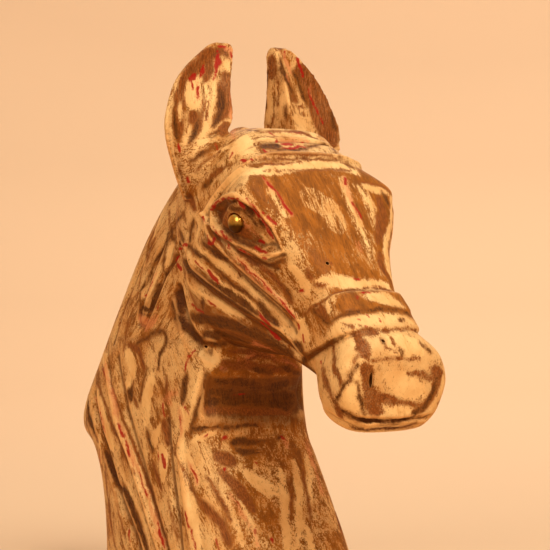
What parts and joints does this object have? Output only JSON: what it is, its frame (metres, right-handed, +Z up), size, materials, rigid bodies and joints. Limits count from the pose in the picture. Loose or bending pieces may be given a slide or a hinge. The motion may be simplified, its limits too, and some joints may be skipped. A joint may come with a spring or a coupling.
{
  "type": "carved horse head sculpture",
  "caption": "Carved wooden horse's head and neck, cut flat below to stand upright, with upright ears, a carved bridle and brass dome tacks for eyes.",
  "frame": {"origin": "on the flat underside of the neck, where the middle plane of the horse crosses the line between the two sides of the neck", "axes": "+Z up, the horse faces -Y, and its left side is at +X; the middle plane of the horse is X = 0"},
  "size_m": [0.1398, 0.3161, 0.3521],
  "materials": {
    "painted_wood": "worn paint and stain, satin",
    "brass": "aged, polished on top"
  },
  "bodies": {
    "root": {"horse_head": "painted_wood", "eye_tack_left": "brass", "eye_tack_right": "brass"}
  },
  "joints": []
}
